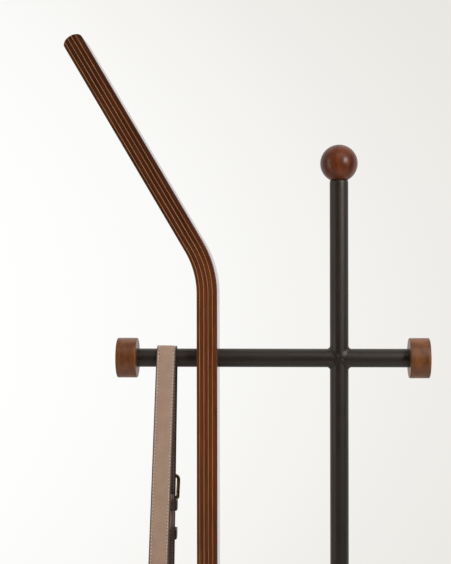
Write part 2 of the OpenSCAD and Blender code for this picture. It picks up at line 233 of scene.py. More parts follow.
def makeWorld():
    world = bpy.data.worlds.new("studio")
    bpy.context.scene.world = world
    world.use_nodes = True
    paint = Paint(world.node_tree)
    world.node_tree.nodes.clear()
    direction = paint.node("TexCoord", output=0)
    x, y, z = (paint.part(direction, axis) for axis in "XYZ")
    # what the camera sees: pale paper, with painted shade that makes it a little greyer to the right, at
    # the top and at the bottom
    share = (x + z * 0.15 + z * z * 2.2).ramp(-0.28, 0.34)
    paper = paint.mix(share, shade(255, 255, 254), shade(233, 231, 226))
    # what lights the stand: bright behind and above, dim on the camera's side
    glow = y.ramp(-0.15, 0.45, stage["front"], stage["behind"]) + z.ramp(0.3, 1.0, 0.0, 0.35)
    room = paint.mix(1.0, glow, (1.0, 0.995, 0.98, 1), "MULTIPLY")
    seen = paint.node("LightPath")
    chosen = paint.mix(seen, room, paper)
    background = paint.node("Background", {}, {"Color": chosen, "Strength": 1.0})
    ending = world.node_tree.nodes.new("ShaderNodeOutputWorld")
    world.node_tree.links.new(background.socket, ending.inputs["Surface"])


def makeFloor():
    bm = bmesh.new()
    bmesh.ops.create_circle(bm, cap_ends=True, radius=stage["floorRadius"], segments=96)
    mesh = bpy.data.meshes.new("floor")
    bm.to_mesh(mesh)
    bm.free()
    floor = bpy.data.objects.new("floor", mesh)
    bpy.context.scene.collection.objects.link(floor)
    paint = Finish("palePaper")
    spot = paint.objectPlace()
    away = paint.node("VectorMath", {"operation": "LENGTH"}, {0: spot}, output=1)
    fibre = paint.noise(spot, 40.0, 4.0)
    paper = paint.mix(fibre.ramp(0.3, 0.7), shade(226, 225, 221), shade(233, 232, 228))
    paint.surface({"Base Color": paper, "Roughness": 0.75,
                   "Alpha": away.ramp(stage["fadeStart"], stage["floorRadius"] * 0.95, 1.0, 0.0)},
                  fibre, 0.0003)
    mesh.materials.append(paint.material)


for name, values in light.items():
    makeLight(name, **values)
makeWorld()
makeFloor()
bpy.context.scene.view_settings.view_transform = "Standard"


def lathe(corners, steps=96, closed=False):
    # turns an outline around +Z; each corner is (radius, height, rounding)
    bm = bmesh.new()
    outline = [bm.verts.new((radius, 0, height)) for radius, height, rounding in corners]
    for pair in zip(outline, outline[1:] + outline[:1] * closed):
        bm.edges.new(pair)
    for vert, (radius, height, rounding) in zip(outline, corners):
        if rounding:
            bmesh.ops.bevel(bm, geom=[vert], offset=rounding, offset_type="OFFSET", segments=5,
                            profile=0.5, affect="VERTICES", material=-1)
    bmesh.ops.spin(bm, geom=bm.verts[:] + bm.edges[:], cent=(0, 0, 0), axis=(0, 0, 1),
                   angle=2 * pi, steps=steps, use_merge=True)
    bmesh.ops.remove_doubles(bm, verts=bm.verts, dist=1e-6)
    bmesh.ops.recalc_face_normals(bm, faces=bm.faces)
    return bm


def ring(bm, points):
    made = [bm.verts.new(point) for point in points]
    for pair in zip(made, made[1:] + made[:1]):
        bm.edges.new(pair)
    return made


def stretch(bm, made, points):
    # extrudes a ring of vertices to new points and returns the new ring
    edges = [bm.edges.get(pair) for pair in zip(made, made[1:] + made[:1])]
    grown = bmesh.ops.extrude_edge_only(bm, edges=edges)["geom"]
    fresh = {part for part in grown if isinstance(part, bmesh.types.BMVert)}
    following = [next(e.other_vert(v) for e in v.link_edges if e.other_vert(v) in fresh) for v in made]
    for vert, point in zip(following, points):
        vert.co = point
    return following


def loft(bm, sections, closed=False):
    # skins rings of points that have the same count, fills the ends of an open one, and returns the rings
    rings = [ring(bm, sections[0])]
    for points in sections[1:]:
        rings.append(stretch(bm, rings[-1], points))
    if closed:
        last = stretch(bm, rings[-1], sections[0])
        bmesh.ops.weld_verts(bm, targetmap=dict(zip(last, rings[0])))
    else:
        bm.faces.new(rings[0])
        bm.faces.new(rings[-1])
    bmesh.ops.recalc_face_normals(bm, faces=bm.faces)
    return rings


def rod(radius, start, end, steps=48):
    # a straight cylinder, used as a cutter
    bm = bmesh.new()
    along = Vector(end) - Vector(start)
    turn = along.to_track_quat("Z", "Y").to_matrix().to_4x4()
    place = Matrix.Translation((Vector(start) + Vector(end)) / 2) @ turn
    bmesh.ops.create_cone(bm, cap_ends=True, radius1=radius, radius2=radius, depth=along.length,
                          segments=steps, matrix=place)
    return bm


def block(low, high):
    bm = bmesh.new()
    size = Vector(high) - Vector(low)
    bmesh.ops.create_cube(bm, size=1, matrix=Matrix.Translation((Vector(low) + Vector(high)) / 2)
                          @ Matrix.Diagonal((*size, 1)))
    return bm


def toObject(name, bm):
    mesh = bpy.data.meshes.new(name)
    bm.to_mesh(mesh)
    bm.free()
    made = bpy.data.objects.new(name, mesh)
    bpy.context.scene.collection.objects.link(made)
    return made


def combine(bm, operation, *others):
    # joins each of the other shapes to bm, or takes it out of bm, and returns the result
    for other in others:
        body = toObject("body", bm)
        tool = toObject("tool", other)
        change = body.modifiers.new("change", "BOOLEAN")
        change.operation = operation
        change.solver = "EXACT"
        change.object = tool
        bm = bmesh.new()
        bm.from_object(body, bpy.context.evaluated_depsgraph_get())
        for scrap in (body, tool):
            bpy.data.objects.remove(scrap)
    return bm


def carve(bm, *cutters):
    bm = combine(bm, "DIFFERENCE", *cutters)
    bmesh.ops.dissolve_degenerate(bm, edges=bm.edges, dist=1e-6)
    return bm


def addPiece(name, bm, material, replaces=(), body="stand", sharp=35):
    piece = toObject(name, bm)
    piece.data.materials.append(material)
    piece.data.shade_smooth()
    piece.data.set_sharp_from_angle(angle=radians(sharp))
    piece.modifiers.new("flatFaces", "WEIGHTED_NORMAL").keep_sharp = True
    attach(piece, body)
    if replaces:
        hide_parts(*replaces)
    return piece


print("steel frame")

weld = {
    "reach": 4.2 * mm,       # from the seam to each toe at the top of the bar
    "frontReach": 2.4 * mm,  # the same at the front, where the tubes only just meet
    "proud": 0.45 * mm,
    "topFall": 0.6,          # share of that height which is lost at the top of the bar
    "foot": 0.15 * mm,       # depth of the toes under the tubes' surfaces
    "root": 1.2 * mm,        # depth of the bead behind the seam
    "ripple": 0.12 * mm,
    "pitch": 2.4 * mm,
    "seamStretch": 1.2,      # length of the seam against the tube's own arc
    "margin": radians(7),    # left free between the beads, at the front and the back
    "steps": 90,
    "slicePoints": 10,
}
lockHole = 3.3 * mm        # radius of the lock screw's hole in the bar
rim = {"inset": 1.2 * mm, "fall": 4 * mm, "steps": 8}   # the upright's rounded rim


def powderCoat():
    coat = {"dark": shade(20, 15, 11), "light": shade(33, 26, 20), "peel": 900.0, "depth": 0.00006}
    paint = Finish("powderCoat")
    spot = paint.objectPlace()
    peel = paint.noise(spot, coat["peel"], 2.0, 0.6)
    specks = paint.cells(spot, 1500.0)
    cloud = paint.noise(spot, 14.0, 4.0, 0.6)
    colour = paint.mix(peel.ramp(0.35, 0.7) * 0.6 + cloud * 0.25, coat["dark"], coat["light"])
    rough = cloud.ramp(0.35, 0.65, 0.40, 0.48) + specks * 0.08
    return paint.surface({"Base Color": colour, "Roughness": rough, "Specular IOR Level": 0.5,
                          "Specular Tint": (1.0, 0.9, 0.8, 1)}, peel + specks * 0.5, coat["depth"])


coatMaterial = powderCoat()


def makeUpright():
    corners = [(boreR, baseTop, 0), (tubeR, baseTop, 0)]
    for k in range(rim["steps"] + 1):
        angle = pi / 2 * k / rim["steps"]
        corners.append((tubeR - rim["inset"] * (1 - cos(angle)), rimZ - rim["fall"] * (1 - sin(angle)), 0))
    bm = lathe(corners + [(boreR, rimZ, 0)], 128, closed=True)
    bmesh.ops.translate(bm, verts=bm.verts, vec=(uprightX, 0, 0))
    addPiece("uprightTube", bm, coatMaterial, ["upright_tube"])


def makeCrossbar(name, side, node):
    start = barEnds[side]
    length = abs(uprightX - start)
    bm = lathe([(boreR, 0, 0), (tubeR, 0, 0), (tubeR, length, 0), (boreR, length, 0)], 128, closed=True)
    bmesh.ops.transform(bm, verts=bm.verts, matrix=Matrix.Translation((start, 0, barZ))
                        @ Matrix.Rotation(-side * pi / 2, 4, "Y"))
    for vert in bm.verts:
        if abs(vert.co.x - uprightX) < 1e-5:   # coped to sit on the upright
            vert.co.x = uprightX + side * sqrt(max(0, tubeR ** 2 - vert.co.y ** 2))
    if side < 0:
        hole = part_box("post_lock_nut")[1].y
        bm = carve(bm, rod(lockHole, (postX, hole, barZ), (postX, 2 * tubeR, barZ)))
    addPiece(name, bm, coatMaterial, [node])


def weldSection(side, angle, walked):
    # one slice through the bead, where the bar's surface at this angle meets the upright
    seam = Vector((side * tubeR * abs(sin(angle)), tubeR * cos(angle), tubeR * sin(angle)))
    onBar = Vector((0, cos(angle), sin(angle)))
    onUpright = Vector((seam.x, seam.y, 0)) / tubeR
    tangent = onBar.cross(onUpright)
    if tangent.length < 1e-4:
        tangent = Vector((side, 0, 1))
    tangent.normalize()
    alongBar = tangent.cross(onBar)
    alongBar *= 1 if alongBar.x * side > 0 else -1
    alongUpright = tangent.cross(onUpright)
    alongUpright *= 1 if alongUpright.z * sin(angle) > 0 else -1
    top = abs(sin(angle)) ** 1.5
    reach = weld["frontReach"] + (weld["reach"] - weld["frontReach"]) * top
    out = (onBar + onUpright).normalized()
    ripple = weld["ripple"] * sin(2 * pi * walked / weld["pitch"])
    ripple += weld["ripple"] * noise.noise(Vector((walked / weld["pitch"] / 2, side * 7.0, 3.0)))
    points = []
    for k in range(weld["slicePoints"] + 1):
        share = k / weld["slicePoints"]
        spot = seam + alongBar * reach * (1 - share) ** 2 + alongUpright * reach * share ** 2
        bulge = sin(pi * share)
        lift = (weld["proud"] * (1 - weld["topFall"] * top) + ripple) * bulge - weld["foot"] * (1 - bulge)
        points.append(spot + out * lift)
    points.append(seam - out * weld["root"])
    return [point + Vector((uprightX, 0, barZ)) for point in points]


def makeWelds():
    bm = bmesh.new()
    margin, steps = weld["margin"], weld["steps"]
    for side in (-1, 1):
        for up in (-1, 1):
            sections = []
            for k in range(steps + 1):
                angle = up * (margin + (pi - 2 * margin) * k / steps)
                sections.append(weldSection(side, angle, tubeR * weld["seamStretch"] * abs(angle)))
            part = bmesh.new()
            loft(part, sections)
            scrap = bpy.data.meshes.new("bead")
            part.to_mesh(scrap)
            part.free()
            bm.from_mesh(scrap)
    addPiece("crossbarWelds", bm, coatMaterial, ["crossbar_welds"], sharp=60)


makeUpright()
makeCrossbar("crossbarLeft", -1, "crossbar_left")
makeCrossbar("crossbarRight", 1, "crossbar_right")
makeWelds()


print("base")

base = {
    "edge": 2.2 * mm,
    "lower": 0.8 * mm,
    "screwR": 4.05 * mm,
    "boltR": 6.05 * mm,
    "sink": 0.8,             # depth of a countersink against the step it spans
    "clear": 0.01 * mm,
    "steps": 160,
}


def sunkCutter(x, y, radius, low, high):
    # the room for a countersunk screw whose head is at the bottom
    head = 2 * radius
    depth = (head - radius) * base["sink"]
    bm = bmesh.new()
    bmesh.ops.create_cone(bm, cap_ends=True, radius1=head, radius2=radius, depth=depth, segments=48,
                          matrix=Matrix.Translation((x, y, low + depth / 2)))
    bmesh.ops.translate(bm, verts=bm.verts, vec=(0, 0, -base["clear"]))
    return [bm, rod(radius, (x, y, low - mm), (x, y, high + mm))]


def makeBase():
    low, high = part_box("base_plate")
    radius = (high.x - low.x) / 2
    bm = lathe([(0, low.z, 0), (radius, low.z, base["lower"]), (radius, high.z, base["edge"]),
                (0, high.z, 0)], base["steps"])
    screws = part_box("post_foot_screws")
    reachY = screws[1].y - 2 * base["screwR"]
    cutters = sunkCutter(uprightX, 0, base["boltR"], low.z, high.z)
    for y in (-reachY, reachY):
        cutters += sunkCutter(postX, y, base["screwR"], low.z, high.z)
    addPiece("basePlate", carve(bm, *cutters), coatMaterial, ["base_plate"])


pad = {"lower": 0.6 * mm, "upper": 0.3 * mm}


def foamMaterial():
    paint = Finish("padFoam")
    spot = paint.objectPlace()
    pores = paint.cells(spot, 900.0)
    cloud = paint.noise(spot, 60.0, 4.0)
    colour = paint.mix(pores.ramp(0.1, 0.7) * 0.7 + cloud * 0.3, shade(18, 18, 18), shade(44, 43, 42))
    return paint.surface({"Base Color": colour, "Roughness": pores.ramp(0.0, 0.8, 0.95, 0.82)},
                         pores, 0.0004)


def makePad():
    low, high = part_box("base_pad")
    radius = (high.x - low.x) / 2
    bm = lathe([(0, low.z, 0), (radius, low.z, pad["lower"]), (radius, high.z, pad["upper"]),
                (0, high.z, 0)], base["steps"])
    addPiece("basePad", bm, foamMaterial(), ["base_pad"])


makeBase()
makePad()


print("finials")

ball = {"pocketR": 5.65 * mm, "pocketH": 14 * mm, "steps": 48}
disc = {
    "edge": 1.1 * mm,
    "seat": 6 * mm,
    "seatR": tubeR + 0.05 * mm,
    "seatEdge": 0.3 * mm,
    "pocketR": 5.65 * mm,
    "pocketH": 14 * mm,
}


def turnedWood(name, dark, light, streaks, stretchAmounts, shine, rough, centre, turn=(0, 0, 0)):
    paint = Finish(name)
    spot = paint.stretched(paint.objectPlace(), (1, 1, 1), tuple(-value for value in centre))
    grain = paint.stretched(spot, stretchAmounts, turn=turn)
    fine = paint.noise(grain, streaks, 5.0, 0.65, 0.3)
    bands = paint.noise(grain, streaks * 0.16, 3.0, 0.5, 0.8)
    pores = paint.cells(grain, streaks * 2.2)
    share = bands.ramp(0.32, 0.68) * 0.6 + fine.ramp(0.3, 0.7) * 0.4
    colour = paint.mix(share, dark, light)
    colour = paint.mix(pores.ramp(0.12, 0.0) * 0.5, colour, shade(38, 18, 8))
    roughness = fine.ramp(0.3, 0.7, rough - 0.05, rough + 0.06)
    return paint.surface({"Base Color": colour, "Roughness": roughness, "Coat Weight": shine[0],
                          "Coat Roughness": 0.3, "Specular IOR Level": shine[1]},
                         fine * 0.4 + pores.ramp(0.0, 0.15), 0.00012)


def makeBall():
    low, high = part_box("ball_finial")
    centreX = (low.x + high.x) / 2
    radius = (high.x - low.x) / 2
    seat = low.z
    centreZ = high.z - radius
    start = asin((seat - centreZ) / radius)
    corners = [(0, seat + ball["pocketH"], 0), (ball["pocketR"], seat + ball["pocketH"], 0),
               (ball["pocketR"], seat, 0)]
    for k in range(ball["steps"]):
        angle = start + (pi / 2 - start) * k / ball["steps"]
        corners.append((radius * cos(angle), centreZ + radius * sin(angle), 0))
    corners.append((0, centreZ + radius, 0))
    bm = lathe(corners)
    bmesh.ops.translate(bm, verts=bm.verts, vec=(centreX, 0, 0))
    material = turnedWood("ballWood", shade(56, 21, 4), shade(114, 52, 18), 260.0, (1, 1, 0.16),
                          (0.42, 0.12), 0.5, (centreX, 0, centreZ), (0, radians(24), 0))
    addPiece("ballFinial", bm, material, ["ball_finial"])


def makeDisc(name, side, node):
    low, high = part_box(node)
    radius = (high.z - low.z) / 2
    thick = high.x - low.x
    seat = thick - disc["seat"]
    bm = lathe([(0, 0, 0), (radius, 0, disc["edge"]), (radius, thick, disc["edge"]),
                (disc["seatR"], thick, disc["seatEdge"]), (disc["seatR"], seat, 0),
                (disc["pocketR"], seat, 0), (disc["pocketR"], seat - disc["pocketH"], 0),
                (0, seat - disc["pocketH"], 0)], 128)
    bmesh.ops.transform(bm, verts=bm.verts, matrix=Matrix.Translation((discEnds[side], 0, barZ))
                        @ Matrix.Rotation(-side * pi / 2, 4, "Y"))
    centre = (low + high) / 2
    material = turnedWood(name + "Wood", shade(82, 41, 10), shade(128, 74, 27), 420.0, (1, 1, 0.07),
                          (0.12, 0.4), 0.45, centre, (0, 0, radians(20) * side))
    addPiece(name, bm, material, [node])


makeBall()
makeDisc("endDiscLeft", -1, "end_disc_left")
makeDisc("endDiscRight", 1, "end_disc_right")


print("post")

post = {
    "bend": radians(30.5),
    "bendR": 124 * mm,        # at the middle of the thickness
    "meeting": 121 * mm,      # above the bar, where the two centre lines would meet
    "arm": 362 * mm,          # from there to the tip
    "tipRise": 9 * mm,        # of the crowned tip above its shoulders
    "arris": 1.3 * mm,
    "cuts": 24,               # through the bend
    "boreR": tubeR + 0.05 * mm,
    "lockR": 3.05 * mm,
    "headR": 5.05 * mm,
    "headDepth": 7 * mm,
    "insertR": 5.65 * mm,
    "insertH": 26 * mm,
}
plyNodes = ["post_ply_1", "post_veneer_1", "post_ply_2", "post_veneer_2", "post_ply_3",
            "post_veneer_3", "post_ply_4", "post_veneer_4", "post_ply_5"]
rightFaces = [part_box(node)[1].x for node in plyNodes]
postHalf = rightFaces[-1] - postX
faces = [postX - postHalf] + rightFaces
tangentLength = post["bendR"] * tan(post["bend"] / 2)
bendZ = barZ + post["meeting"] - tangentLength
bendLength = post["bendR"] * post["bend"]
straightTop = bendZ + bendLength + post["arm"] - tangentLength


def bent(place):
    # where a point of the straight blank ends up on the bent post
    across = place.x - postX
    walked = place.z - bendZ
    angle = min(max(walked / post["bendR"], 0), post["bend"])
    left = min(walked, 0) + max(walked - bendLength, 0)
    reach = post["bendR"] + across
    return Vector((postX - post["bendR"] + reach * cos(angle) - left * sin(angle), place.y,
                   bendZ + reach * sin(angle) + left * cos(angle)))


def blankPost():
    # the straight blank: one block with a rounded end, its edges eased and its holes drilled
    low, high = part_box("post_ply_1")
    depth = (high.y - low.y) / 2
    shoulder = straightTop - post["tipRise"]
    bm = block((postX - postHalf, -depth, baseTop), (postX + postHalf, depth, shoulder + postHalf))
    tips = [e for e in bm.edges if all(v.co.z > shoulder for v in e.verts)
            and abs(e.verts[0].co.x - e.verts[1].co.x) < mm]
    bmesh.ops.bevel(bm, geom=tips, offset=postHalf * 0.99, offset_type="OFFSET", segments=14,
                    profile=0.5, affect="EDGES", material=-1)
    for vert in bm.verts:
        if vert.co.z > shoulder:   # the round end is flattened to a low crown
            vert.co.z = shoulder + (vert.co.z - shoulder) * post["tipRise"] / postHalf
    sides = [e for e in bm.edges if all(abs(abs(v.co.y) - depth) < 1e-6 for v in e.verts)
             and e.calc_face_angle(0) > 1 and max(v.co.z for v in e.verts) > baseTop + mm]
    bmesh.ops.bevel(bm, geom=sides, offset=post["arris"], offset_type="OFFSET", segments=4,
                    profile=0.5, affect="EDGES", material=-1)
    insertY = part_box("post_foot_inserts")[1].y - post["insertR"]
    cutters = [rod(post["boreR"], (postX - 2 * postHalf, 0, barZ), (postX + 2 * postHalf, 0, barZ), 96),
               rod(post["lockR"], (postX, 0, barZ), (postX, 2 * depth, barZ), 32),
               rod(post["headR"], (postX, depth - post["headDepth"], barZ), (postX, 2 * depth, barZ))]
    insertTop = baseTop + post["insertH"]
    for y in (-insertY, insertY):
        cutters.append(rod(post["insertR"], (postX, y, baseTop - mm), (postX, y, insertTop)))
    return carve(bm, *cutters)


def cutAt(bm, place, direction, keep=None):
    # slices bm with a plane; keep=1 or -1 keeps one side and closes it
    cut = bmesh.ops.bisect_plane(bm, geom=bm.verts[:] + bm.edges[:] + bm.faces[:], dist=1e-7,
                                 plane_co=place, plane_no=direction,
                                 clear_inner=keep == 1, clear_outer=keep == -1)
    if keep:
        edges = [part for part in cut["geom_cut"] if isinstance(part, bmesh.types.BMEdge)]
        bmesh.ops.triangle_fill(bm, edges=edges, use_beauty=True, use_dissolve=False)


def makeLayer(name, blank, left, right, material, node):
    bm = blank.copy()
    if left > faces[0]:
        cutAt(bm, (left, 0, 0), (1, 0, 0), keep=1)
    if right < faces[-1]:
        cutAt(bm, (right, 0, 0), (1, 0, 0), keep=-1)
    for k in range(post["cuts"] + 1):
        cutAt(bm, (0, 0, bendZ + bendLength * k / post["cuts"]), (0, 0, 1))
    bmesh.ops.recalc_face_normals(bm, faces=bm.faces)
    straight = bm.verts.layers.float_vector.new("straight")
    for vert in bm.verts:
        vert[straight] = vert.co
        vert.co = bent(vert.co)
    addPiece(name, bm, material, [node], sharp=25)


def plyWood(name, dark, light, seed, armDarkening):
    paint = Finish(name)
    straight = paint.attribute("straight")
    grain = paint.stretched(straight, (1, 1, 0.035), (seed, seed, seed))
    fine = paint.noise(grain, 1300.0, 4.0, 0.6)
    streaks = paint.noise(grain, 330.0, 3.0, 0.6, 0.4)
    drift = paint.noise(straight, 9.0, 2.0)
    share = streaks.ramp(0.3, 0.7) * 0.55 + fine.ramp(0.3, 0.7) * 0.35 + drift * 0.2
    # the arm above the bend is painted darker, by this amount
    share = share - paint.part(straight, "Z").ramp(bendZ, bendZ + bendLength * 2) * armDarkening
    colour = paint.mix(share, dark, light)
    pores = paint.cells(paint.stretched(straight, (1, 1, 0.12)), 1500.0)
    colour = paint.mix(pores.ramp(0.16, 0.0) * 0.55, colour, shade(34, 15, 6))
    # the broad faces are polished, the edges of the plies are left duller
    polish = abs(paint.part(straight, "X") - postX).ramp(postHalf - 0.4 * mm, postHalf - 0.1 * mm)
    roughness = fine.ramp(0.3, 0.7, 0.34, 0.46) - polish * 0.12
    return paint.surface({"Base Color": colour, "Roughness": roughness, "Specular IOR Level": 0.3,
                          "Coat Weight": polish * 0.45 + 0.1, "Coat Roughness": 0.14},
                         fine * 0.5 + pores.ramp(0.0, 0.2), 0.00008)


def makePost():
    dark = plyWood("darkPly", shade(58, 24, 5), shade(110, 56, 22), 0.0, 0.45)
    pale = plyWood("paleVeneer", shade(128, 78, 46), shade(180, 126, 82), 0.37, 0.0)
    blank = blankPost()
    for k, node in enumerate(plyNodes):
        number = k // 2 + 1
        if k % 2:
            makeLayer(f"postVeneer{number}", blank, faces[k], faces[k + 1], pale, node)
        else:
            makeLayer(f"postPly{number}", blank, faces[k], faces[k + 1], dark, node)
    blank.free()


makePost()


print("strap")

strap = {
    "half": 13 * mm,
    "leather": 2 * mm,
    "lining": 1.6 * mm,
    "drop": 390 * mm,           # from the bar to the middle of the bottom bend
    "opening": radians(12.4),   # between the front and the back run
    "tail": 330 * mm,           # from the bar down to the tip of the tail
    "wrapGap": 0.5 * mm,
    "lapGap": 0.4 * mm,
    "foldGap": 0.3 * mm,
    "flap": 45 * mm,
    "flapSlope": 12 * mm,
    "pitch": 22 * mm,           # between the holes in the tail
    "holes": (-4, -3, -2, 1, 2),  # in pitches from the prong's slot
    "holeR": 2 * mm,
    "ease": 0.55 * mm,          # rounding of the leather's edges
    "arcStep": radians(3),
    "step": 10 * mm,            # between the sections of a straight run
    "tipSteps": 12,             # sections of the round tip
}
# the creased border: distance in from the edge, and depth under the face
border = [(1.5 * mm, 0.0), (2.0 * mm, 0.1 * mm), (2.9 * mm, 0.6 * mm), (3.9 * mm, 0.1 * mm),
          (4.9 * mm, -0.12 * mm), (8.0 * mm, -0.22 * mm)]
stitch = {
    "inset": 2.9 * mm,
    "pitch": 4.4 * mm,
    "length": 3.8 * mm,
    "radius": 0.52 * mm,
    "sunk": 0.3 * mm,         # of a thread's middle, under the leather's face
    "liningSunk": 0.02 * mm,
    "tipClear": 14 * mm,      # left free at the tip of the tail
    "endClear": 8 * mm,       # and on the lining at the buckle
    "slant": radians(5),
}
buckle = {
    "height": 29.5 * mm,        # from the pivot to the rail that the prong rests on
    "railR": 2.4 * mm,
    "cornerR": 5.5 * mm,
    "gap": 1.25 * mm,           # between the strap's edge and the frame
    "pivotR": 1.6 * mm,
    "prongR": 1.3 * mm,
    "ringR": 3.2 * mm,
    "ringW": 4 * mm,
    "ringEdge": 0.7 * mm,
    "boreEdge": 0.2 * mm,
    "shaftFoot": 2 * mm,        # from the pivot, inside the ring
    "taper": 8 * mm,            # of the prong towards its tip
    "slotGap": 0.6 * mm,
    "fit": 0.05 * mm,
}
keeper = {
    "wall": 2.2 * mm,
    "gap": 1.2 * mm,
    "drop": 1.5 * mm,
    "fixedH": 14 * mm,
    "slidingH": 14 * mm,
    "space": 26 * mm,
    "cornerR": 2.2 * mm,        # at the middle of the wall
    "ease": 0.6 * mm,
    "creaseAt": 2.2 * mm,       # in from each edge
    "creaseHalf": 0.6 * mm,
    "creaseDepth": 0.22 * mm,
}

# the strap's own frame: x across it, y backwards, z up along the back run, origin on the bar's axis
acrossAxis = -Vector(joints["buckle_tilt"]["axis"]).normalized()
upAxis = Vector(joints["keeper_slide"]["axis"]).normalized()
hang = Matrix((acrossAxis, upAxis.cross(acrossAxis), upAxis)).transposed().to_4x4()
hang = Matrix.Translation(joints["strap_swing"]["pos_m"]) @ hang
pivot = hang.inverted() @ Vector(joints["buckle_tilt"]["pos_m"])

strapThick = strap["leather"] + strap["lining"]
wrapR = tubeR + strap["wrapGap"]
lapY = wrapR - strap["lapGap"] - strapThick
loopR = lapY * cos(strap["opening"]) + wrapR + strap["drop"] * sin(strap["opening"])
loopR /= 1 + cos(strap["opening"])
loopY = lapY - loopR
foldR = buckle["pivotR"] + strap["foldGap"]
lean = asin((wrapR + strapThick + strap["foldGap"] + buckle["railR"] - pivot.y) / buckle["height"])
lift = asin((buckle["railR"] + buckle["prongR"] + strap["foldGap"]) / buckle["height"])
railX = strap["half"] + buckle["gap"] + buckle["railR"]


def arcStations(y, z, radius, start, end):
    # (point, outward direction) pairs around an arc, in the strap's y and z
    count = ceil(abs(end - start) / strap["arcStep"])
    made = []
    for k in range(count + 1):
        angle = start + (end - start) * k / count
        out = Vector((0, cos(angle), sin(angle)))
        made.append((Vector((0, y, z)) + out * radius, out))
    return made


def loopPath(top):
    # from the tail's tip over the bar, down the front, round the bottom and up to a height
    path = [(Vector((0, wrapR, -strap["tail"])), Vector((0, 1, 0)))]
    path += arcStations(0, 0, wrapR, 0, pi - strap["opening"])
    path += arcStations(loopY, -strap["drop"], loopR, pi - strap["opening"], 2 * pi)
    path.append((Vector((0, lapY, top)), Vector((0, 1, 0))))
    return path


def foldPath():
    # round the pivot bar and down behind the lining
    path = arcStations(pivot.y, pivot.z, foldR - strap["lining"], 0, pi)
    for drop in (strap["flapSlope"], strap["flap"]):
        path.append((Vector((0, lapY + strap["lining"], pivot.z - drop)), Vector((0, -1, 0))))
    return path


def denser(path):
    # the same path with stations at most one step apart on its straight runs
    made = [path[0]]
    for (before, beforeOut), (spot, out) in zip(path, path[1:]):
        count = max(1, ceil((spot - before).length / strap["step"]))
        for k in range(1, count + 1):
            made.append((before.lerp(spot, k / count), beforeOut.lerp(out, k / count).normalized()))
    return made


def layerSlice(half, low, high, ease, creases):
    # an outline across the strap: (x, distance out from the path), with eased edges
    outline = []
    for side, level, start in ((1, low, -pi / 2), (1, high, 0)):
        inward = ease if level == low else -ease
        for k in range(4):
            angle = start + pi / 2 * k / 3
            outline.append((half - ease + ease * cos(angle), level + inward + ease * sin(angle)))
    face = [(half - inset, high - depth) for inset, depth in creases]
    outline += face + [(0, high - creases[-1][1])]
    outline += [(-x, d) for x, d in reversed(face)]
    edge = outline[:8]
    outline += [(-x, d) for x, d in reversed(edge)]
    outline += [(x * (half - ease), low) for x in (-0.6, 0, 0.6)]
    return outline


def layerMesh(path, low, high, ease, creases):
    # skins a layer of the strap along its path, in the strap's own frame
    half = strap["half"]
    flat = layerSlice(half, low, high, ease, creases)
    sections = []
    # the sections of the round tip widen to the strap's full width
    foot, out = path[0]
    for k in range(1, strap["tipSteps"]):
        angle = pi / 2 * k / strap["tipSteps"]
        spot = foot + Vector((0, 0, half * (1 - cos(angle))))
        width = sin(angle)
        sections.append([spot + out * d + Vector((x * width, 0, 0)) for x, d in flat])
    beyond = [station for station in path[1:] if station[0].z > foot.z + half or station[0].y < 0]
    path = [(foot + Vector((0, 0, half)), out)] + beyond
    for spot, out in path:
        sections.append([spot + out * d + Vector((x, 0, 0)) for x, d in flat])
    bm = bmesh.new()
    loft(bm, sections)
    return bm


def walk(path):
    # the path with the length walked at each station
    total = 0
    made = [(0.0, *path[0])]
    for (before, _), (spot, out) in zip(path, path[1:]):
        total += (spot - before).length
        made.append((total, spot, out))
    return made


def stationAt(walked, length):
    # the point, outward direction and direction of travel at a length along a walked path
    for (start, spot, out), (end, nextSpot, nextOut) in zip(walked, walked[1:]):
        if start <= length <= end and end > start:
            share = (length - start) / (end - start)
            along = (nextSpot - spot).normalized()
            return spot.lerp(nextSpot, share), out.lerp(nextOut, share).normalized(), along
    return walked[-1][1], walked[-1][2], (walked[-1][1] - walked[-2][1]).normalized()


def unroll(bm, path, low, high):
    # writes each vertex's place on the flat strap (across, along, out) for its material
    layer = bm.verts.layers.float_vector.new("flat")
    walked = walk(path)
    tree = KDTree(len(walked))
    for k, (length, spot, out) in enumerate(walked):
        tree.insert(spot + out * (low + high) / 2, k)
    tree.balance()
    for vert in bm.verts:
        spot = Vector((0, vert.co.y, vert.co.z))
        k = tree.find(spot)[1]
        best = None
        near = walked[max(k - 1, 0):k + 2]
        for (start, a, outA), (end, b, outB) in zip(near, near[1:]):
            if end == start:
                continue
            share = min(max((spot - a).dot(b - a) / (b - a).length_squared, 0), 1)
            away = spot - a.lerp(b, share)
            height = away.dot(outA.lerp(outB, share).normalized())
            stray = abs(away.length - abs(height))
            if best is None or stray < best[0]:
                best = (stray, start + (end - start) * share, height)
        vert[layer] = (vert.co.x, best[1], best[2])


def tailCutters():
    # the slot that the prong passes through, and the round holes above and below it
    width = buckle["prongR"] + buckle["slotGap"]
    slope = lean + lift
    first = pivot.z + (wrapR + strapThick - pivot.y) / tan(slope) + buckle["prongR"] / sin(slope)
    first += buckle["slotGap"] - width
    near, far = wrapR - strap["lapGap"] / 2, wrapR + 2 * strapThick
    cutters = []
    for k in strap["holes"]:
        height = first + k * strap["pitch"]
        cutters.append(rod(strap["holeR"], (0, near, height), (0, far, height), 24))
    slot = block((-width, near, pivot.z), (width, far, first))
    corners = [e for e in slot.edges if abs(e.verts[0].co.y - e.verts[1].co.y) > mm]
    bmesh.ops.bevel(slot, geom=corners, offset=width * 0.98, offset_type="OFFSET", segments=6, profile=0.5,
                    affect="EDGES", material=-1)
    for vert in slot.verts:   # the round ends stand beyond the slot's length
        vert.co.z += width if vert.co.z > (pivot.z + first) / 2 else -width
    return cutters + [slot]


